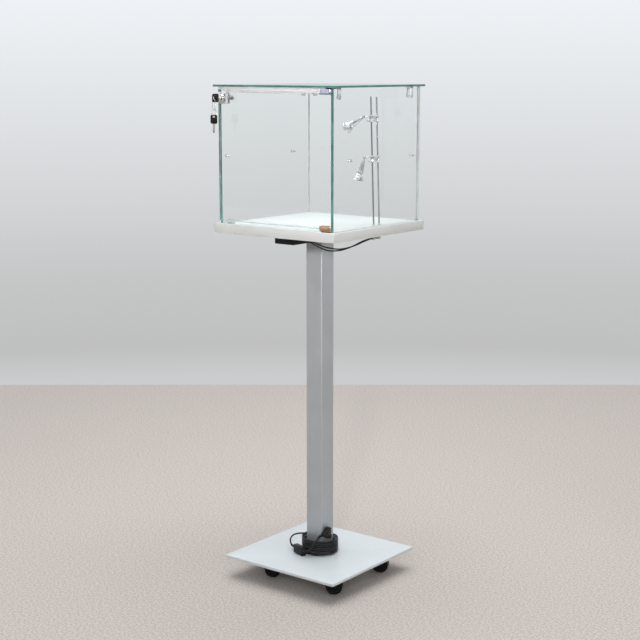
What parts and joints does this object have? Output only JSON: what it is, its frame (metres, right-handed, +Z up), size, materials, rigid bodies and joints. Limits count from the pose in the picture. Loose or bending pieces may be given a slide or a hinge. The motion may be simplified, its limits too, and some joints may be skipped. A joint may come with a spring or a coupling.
{
  "type": "pedestal display case",
  "caption": "Square glass display case with a locking glass door and sliding spot lamps, on a steel column with a castered base plate.",
  "frame": {"origin": "on the floor, under the middle of the column", "axes": "+Z up; the glass door closes the -Y side, with its lock at -X and its hinges at +X"},
  "size_m": [0.45, 0.496, 1.519],
  "materials": {
    "base_paint": "smooth pale powder coat, satin",
    "column_paint": "silver-grey satin paint",
    "steel": "zinc-plated steel",
    "black_rubber": "matt black rubber",
    "laminate": "white melamine laminate, satin",
    "edging": "pale grey edging band",
    "glass": "clear float glass with green edges",
    "chrome": "polished chrome",
    "clear_plastic": "pale translucent plastic",
    "seal": "white flexible seal",
    "black_metal": "black paint, satin",
    "rod": "drawn steel, satin",
    "cream_plastic": "cream plastic",
    "black_plastic": "fine-textured black plastic",
    "cord": "black cord sheath, satin",
    "dark_steel": "dark zinc-plated steel",
    "caster_rubber": "black rubber tread",
    "key_metal": "nickel-plated key",
    "bulb_glass": "mirrored reflector glass"
  },
  "bodies": {
    "stand": {"base_plate": "base_paint", "mounting_screws": "steel", "foot_insert": "steel", "column": "column_paint", "column_grommets": "black_rubber", "head_plate": "column_paint", "stop_block": "clear_plastic", "board": "laminate", "board_edging": "edging", "pane_left": "glass", "pane_right": "glass", "pane_back": "glass", "top_glass": "glass", "top_brackets": "chrome", "bracket_screws": "chrome", "shelf_pins": "clear_plastic", "hinge_foot": "black_metal", "hinge_top_socket": "black_metal", "strike": "chrome", "lamp_rods": "rod", "rod_collars": "cream_plastic", "rod_nuts": "steel", "driver_case": "black_plastic", "driver_lid": "black_plastic", "lamp_lead_front": "cord", "lamp_lead_back": "cord", "mains_lead_riser": "cord", "mains_lead_coil": "cord", "mains_lead_tail": "cord", "cord_switch": "black_plastic", "plug_body": "black_plastic", "plug_pins": "steel", "caster_plates": "dark_steel"},
    "door": {"door_glass": "glass", "door_seal": "seal", "hinge_clamps": "chrome", "lock_case": "chrome", "lock_backplate": "chrome"},
    "lock_cylinder": {"lock_plug": "chrome", "lock_cam": "steel"},
    "key": {"key_blade": "key_metal", "key_head": "black_plastic"},
    "key_ring_chain": {"key_rings": "steel"},
    "spare_key": {"spare_key_blade": "key_metal", "spare_key_head": "black_plastic"},
    "switch_rocker": {"switch_rocker": "black_plastic"},
    "upper_lamp_carriage": {"upper_lamp_clamp": "chrome"},
    "upper_lamp": {"upper_lamp_head": "chrome", "upper_lamp_bulb": "bulb_glass"},
    "lower_lamp_carriage": {"lower_lamp_clamp": "chrome"},
    "lower_lamp": {"lower_lamp_head": "chrome", "lower_lamp_bulb": "bulb_glass"},
    "front_left_swivel": {"front_left_caster_hood": "black_plastic"},
    "front_left_wheels": {"front_left_caster_wheels": "caster_rubber"},
    "front_right_swivel": {"front_right_caster_hood": "black_plastic"},
    "front_right_wheels": {"front_right_caster_wheels": "caster_rubber"},
    "back_left_swivel": {"back_left_caster_hood": "black_plastic"},
    "back_left_wheels": {"back_left_caster_wheels": "caster_rubber"},
    "back_right_swivel": {"back_right_caster_hood": "black_plastic"},
    "back_right_wheels": {"back_right_caster_wheels": "caster_rubber"}
  },
  "joints": [
    {"name": "door_swing", "type": "hinge", "parent": "stand", "child": "door", "pos_m": [0.1985, -0.2105, 1.3], "axis": [0, 0, 1], "range_deg": [0, 105]},
    {"name": "lock_turn", "type": "hinge", "parent": "door", "child": "lock_cylinder", "pos_m": [-0.1895, -0.2135, 1.481], "axis": [0, -1, 0], "range_deg": [0, 90]},
    {"name": "key_pull", "type": "slide", "parent": "lock_cylinder", "child": "key", "axis": [0, -1, 0], "range_m": [0, 0.024]},
    {"name": "key_rings_hang", "type": "hinge", "parent": "key", "child": "key_ring_chain", "pos_m": [-0.1895, -0.26, 1.4723], "axis": [0, -1, 0], "range_deg": [-90, 0]},
    {"name": "spare_key_swing", "type": "hinge", "parent": "key_ring_chain", "child": "spare_key", "pos_m": [-0.1895, -0.26, 1.4286], "axis": [0, -1, 0], "range_deg": [-40, 40]},
    {"name": "switch_rocker_tip", "type": "hinge", "parent": "stand", "child": "switch_rocker", "pos_m": [-0.03405, -0.06764, 0.0855], "axis": [0, 0, -1], "range_deg": [0, 12]},
    {"name": "upper_lamp_slide", "type": "slide", "parent": "stand", "child": "upper_lamp_carriage", "axis": [-0.0349, 0, 0.9994], "range_m": [-0.005, 0.045]},
    {"name": "upper_lamp_tilt", "type": "hinge", "parent": "upper_lamp_carriage", "child": "upper_lamp", "pos_m": [0.14251, 0.0245, 1.42548], "axis": [0, -1, 0], "range_deg": [-26, 62]},
    {"name": "lower_lamp_slide", "type": "slide", "parent": "stand", "child": "lower_lamp_carriage", "axis": [-0.0349, 0, 0.9994], "range_m": [-0.1, 0.01]},
    {"name": "lower_lamp_tilt", "type": "hinge", "parent": "lower_lamp_carriage", "child": "lower_lamp", "pos_m": [0.14659, 0.0245, 1.30855], "axis": [0, -1, 0], "range_deg": [-68, 20]},
    {"name": "front_left_swivel_turn", "type": "hinge", "parent": "stand", "child": "front_left_swivel", "pos_m": [-0.12, -0.12, 0.05], "axis": [0, 0, 1], "continuous": true},
    {"name": "front_left_wheels_roll", "type": "hinge", "parent": "front_left_swivel", "child": "front_left_wheels", "pos_m": [-0.10345, -0.10707, 0.025], "axis": [-0.6157, 0.788, 0], "continuous": true},
    {"name": "front_right_swivel_turn", "type": "hinge", "parent": "stand", "child": "front_right_swivel", "pos_m": [0.12, -0.12, 0.05], "axis": [0, 0, 1], "continuous": true},
    {"name": "front_right_wheels_roll", "type": "hinge", "parent": "front_right_swivel", "child": "front_right_wheels", "pos_m": [0.13655, -0.10707, 0.025], "axis": [-0.6157, 0.788, 0], "continuous": true},
    {"name": "back_left_swivel_turn", "type": "hinge", "parent": "stand", "child": "back_left_swivel", "pos_m": [-0.12, 0.12, 0.05], "axis": [0, 0, 1], "continuous": true},
    {"name": "back_left_wheels_roll", "type": "hinge", "parent": "back_left_swivel", "child": "back_left_wheels", "pos_m": [-0.10345, 0.13293, 0.025], "axis": [-0.6157, 0.788, 0], "continuous": true},
    {"name": "back_right_swivel_turn", "type": "hinge", "parent": "stand", "child": "back_right_swivel", "pos_m": [0.12, 0.12, 0.05], "axis": [0, 0, 1], "continuous": true},
    {"name": "back_right_wheels_roll", "type": "hinge", "parent": "back_right_swivel", "child": "back_right_wheels", "pos_m": [0.13655, 0.13293, 0.025], "axis": [-0.6157, 0.788, 0], "continuous": true}
  ],
  "couplings": [
    {"joint": "key_rings_hang", "follows": "lock_turn", "ratio": -1}
  ]
}
